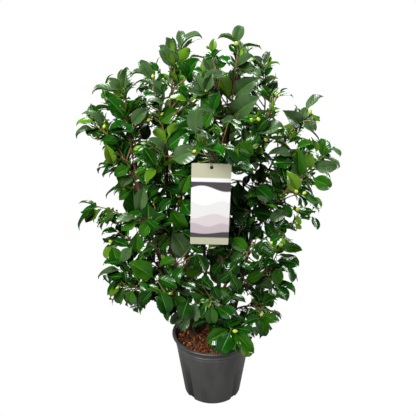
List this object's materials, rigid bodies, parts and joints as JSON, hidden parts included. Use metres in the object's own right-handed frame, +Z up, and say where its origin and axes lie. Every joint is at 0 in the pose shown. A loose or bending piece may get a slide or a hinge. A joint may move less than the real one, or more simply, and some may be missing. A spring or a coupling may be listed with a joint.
{
  "type": "potted camellia shrub",
  "caption": "Bushy evergreen shrub with glossy toothed leaves and round buds, rooted in a tapered plastic nursery pot topped with bark mulch, with a blank-faced hanging tag.",
  "frame": {"origin": "middle of the pot's flat underside, on the ground that it stands on", "axes": "+Z up along the shrub; the front, where the tag hangs, faces -Y; +X is to the right as seen from the front"},
  "size_m": [0.6809, 0.5641, 1.0106],
  "materials": {
    "pot_plastic": "satin charcoal, moulded",
    "mulch": "loose reddish-brown bark chips",
    "bark": "smooth reddish-brown bark",
    "foliage": "glossy evergreen leaves",
    "tag_card": "printed plastic card",
    "tag_wire": "dark plastic tie"
  },
  "bodies": {
    "root": {"pot": "pot_plastic", "root_ball": "mulch", "stem_tall": "bark", "stem_left": "bark", "stem_outer_left": "bark", "stem_right": "bark", "stem_back": "bark", "bough_right_arm": "bark", "bough_front_right": "bark", "bough_above_tag": "bark", "bough_low_left": "bark", "bough_left_middle": "bark", "bough_left_top": "bark", "bough_right_middle": "bark", "bough_right_top": "bark", "bough_right_back": "bark", "bough_back_left": "bark", "bough_back_right": "bark", "foliage_crown_tall_stem": "foliage", "foliage_crown_left_stem": "foliage", "foliage_crown_outer_left_stem": "foliage", "foliage_crown_right_stem": "foliage", "foliage_crown_back_stem": "foliage", "foliage_right_arm": "foliage", "foliage_over_rim": "foliage", "foliage_front_low": "foliage", "foliage_front_left": "foliage", "foliage_front_right": "foliage", "foliage_above_tag": "foliage", "foliage_inner_front": "foliage", "foliage_inner_right": "foliage", "foliage_inner_left": "foliage", "foliage_inner_top": "foliage", "foliage_crown_front": "foliage", "foliage_low_left_front": "foliage", "foliage_left_front": "foliage", "foliage_left_front_top": "foliage", "foliage_crown_left": "foliage", "foliage_low_left": "foliage", "foliage_left_low": "foliage", "foliage_left_middle": "foliage", "foliage_left_top": "foliage", "foliage_low_right": "foliage", "foliage_right_low": "foliage", "foliage_right_middle": "foliage", "foliage_right_top": "foliage", "foliage_crown_right": "foliage", "foliage_right_back": "foliage", "foliage_back_low_right": "foliage", "foliage_back_low_left": "foliage", "foliage_back_low": "foliage", "foliage_back_left": "foliage", "foliage_back_middle": "foliage", "foliage_back_right": "foliage", "foliage_back_top_left": "foliage", "foliage_back_top_right": "foliage", "tag": "tag_card", "tag_loop": "tag_wire"}
  },
  "joints": []
}
